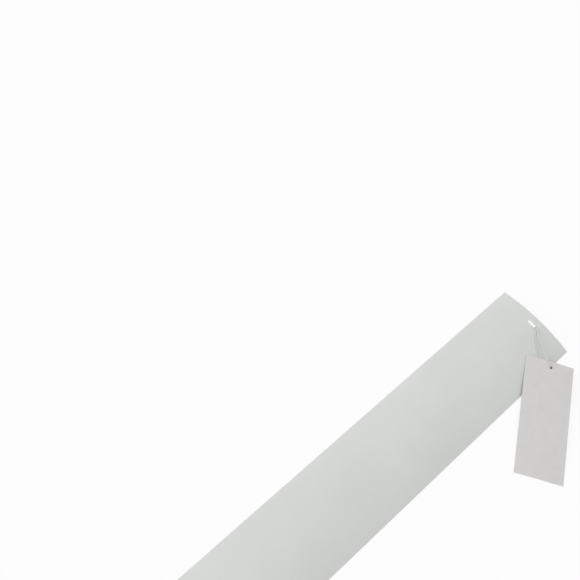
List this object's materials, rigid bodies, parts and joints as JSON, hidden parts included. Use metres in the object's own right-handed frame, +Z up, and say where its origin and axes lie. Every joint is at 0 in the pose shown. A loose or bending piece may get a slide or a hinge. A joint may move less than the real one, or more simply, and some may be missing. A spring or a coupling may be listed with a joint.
{
  "type": "vertical blind vane",
  "caption": "Long white bowed plastic strip with a punched round-ended hanger slot near its top end, and a blank card tag tied through the slot.",
  "frame": {"origin": "on the floor under the middle of the vane, which lies bowed side up on its two long edges", "axes": "+X along the vane towards the slotted end that it hangs from, +Y across the vane, +Z up from the floor"},
  "size_m": [2.096, 0.1798, 0.0087],
  "materials": {
    "white_pvc": "satin",
    "white_card": "matte",
    "clear_nylon": "gloss"
  },
  "bodies": {
    "root": {"vane": "white_pvc", "hang_tag": "white_card", "tag_loop": "clear_nylon", "loop_bar": "clear_nylon"}
  },
  "joints": []
}
